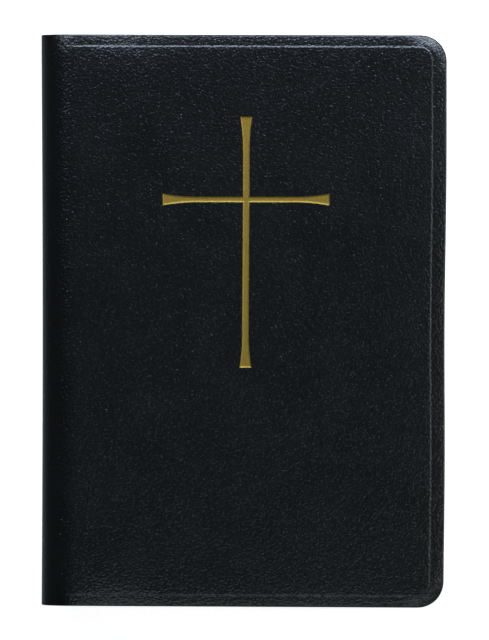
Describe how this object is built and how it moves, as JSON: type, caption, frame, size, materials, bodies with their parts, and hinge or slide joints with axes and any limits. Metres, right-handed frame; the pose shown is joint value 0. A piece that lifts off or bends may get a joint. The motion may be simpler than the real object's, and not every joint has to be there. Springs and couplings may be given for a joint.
{
  "type": "prayer book",
  "caption": "Closed prayer book in limp black leather with rounded corners, a gilt cross on the front, two hinged covers and sewn sections.",
  "frame": {"origin": "middle of the closed book's footprint, on the surface it lies on, back cover down", "axes": "+X from the spine to the fore edge, +Y from the tail to the head, +Z from the back cover up through the front cover"},
  "size_m": [0.1524, 0.216, 0.033],
  "materials": {
    "black_leather": "fine pebble grain, semi-gloss, near black",
    "gilt_foil": "hot-stamped gilt foil, pressed into the leather",
    "cover_card": "flexible millboard, uncoated",
    "lining_cloth": "open-weave bookbinding cotton",
    "kraft_paper": "brown kraft, uncoated",
    "black_endpaper": "heavy black endpaper, lightly embossed",
    "page_paper": "thin cream opaque printing paper, gilt at the trimmed edges",
    "band_silk": "wound silk thread"
  },
  "bodies": {
    "text_block": {"spine_leather": "black_leather", "front_joint_leather": "black_leather", "back_joint_leather": "black_leather", "spine_inlay": "cover_card", "spine_mull": "lining_cloth", "spine_lining_paper": "kraft_paper", "sewing_tape_1": "lining_cloth", "sewing_tape_2": "lining_cloth", "sewing_tape_3": "lining_cloth", "sewing_tape_4": "lining_cloth", "head_band": "band_silk", "tail_band": "band_silk", "back_flyleaf": "black_endpaper", "section_03": "page_paper", "section_04": "page_paper", "section_05": "page_paper", "section_06": "page_paper", "section_07": "page_paper", "section_08": "page_paper", "section_09": "page_paper", "section_10": "page_paper", "section_11": "page_paper", "section_12": "page_paper", "section_13": "page_paper", "section_14": "page_paper", "section_15": "page_paper", "section_16": "page_paper", "section_17": "page_paper", "section_18": "page_paper", "section_19": "page_paper", "section_20": "page_paper", "section_21": "page_paper", "section_22": "page_paper", "section_23": "page_paper", "section_24": "page_paper"},
    "front_cover": {"front_cover_leather": "black_leather", "front_board": "cover_card", "front_mull_flange": "lining_cloth", "front_pastedown": "black_endpaper", "gilt_cross": "gilt_foil"},
    "back_cover": {"back_cover_leather": "black_leather", "back_board": "cover_card", "back_mull_flange": "lining_cloth", "back_pastedown": "black_endpaper"},
    "front_flyleaf": {"front_flyleaf": "black_endpaper"},
    "title_leaf": {"title_leaf": "page_paper"},
    "section_01": {"section_01": "page_paper"},
    "section_02": {"section_02": "page_paper"}
  },
  "joints": [
    {"name": "front_cover_hinge", "type": "hinge", "parent": "text_block", "child": "front_cover", "pos_m": [-0.0684, 0, 0.0318], "axis": [0, -1, 0], "range_deg": [0, 179.9], "deforming": ["front_joint_leather"]},
    {"name": "back_cover_hinge", "type": "hinge", "parent": "text_block", "child": "back_cover", "pos_m": [-0.0684, 0, 0.0012], "axis": [0, 1, 0], "range_deg": [0, 179.9], "deforming": ["back_joint_leather"]},
    {"name": "front_flyleaf_turn", "type": "hinge", "parent": "text_block", "child": "front_flyleaf", "pos_m": [-0.0684, 0, 0.0318], "axis": [0, -1, 0], "range_deg": [0, 178.2]},
    {"name": "title_leaf_turn", "type": "hinge", "parent": "text_block", "child": "title_leaf", "pos_m": [-0.0684, 0, 0.0318], "axis": [0, -1, 0], "range_deg": [0, 174.6]},
    {"name": "section_01_turn", "type": "hinge", "parent": "text_block", "child": "section_01", "pos_m": [-0.0684, 0, 0.0318], "axis": [0, -1, 0], "range_deg": [0, 166.5]},
    {"name": "section_02_turn", "type": "hinge", "parent": "text_block", "child": "section_02", "pos_m": [-0.0684, 0, 0.0318], "axis": [0, -1, 0], "range_deg": [0, 159.3]}
  ],
  "couplings": [
    {"joint": "front_flyleaf_turn", "follows": "front_cover_hinge", "ratio": 0.985},
    {"joint": "title_leaf_turn", "follows": "front_cover_hinge", "ratio": 0.965},
    {"joint": "section_01_turn", "follows": "front_cover_hinge", "ratio": 0.92},
    {"joint": "section_02_turn", "follows": "front_cover_hinge", "ratio": 0.88}
  ]
}
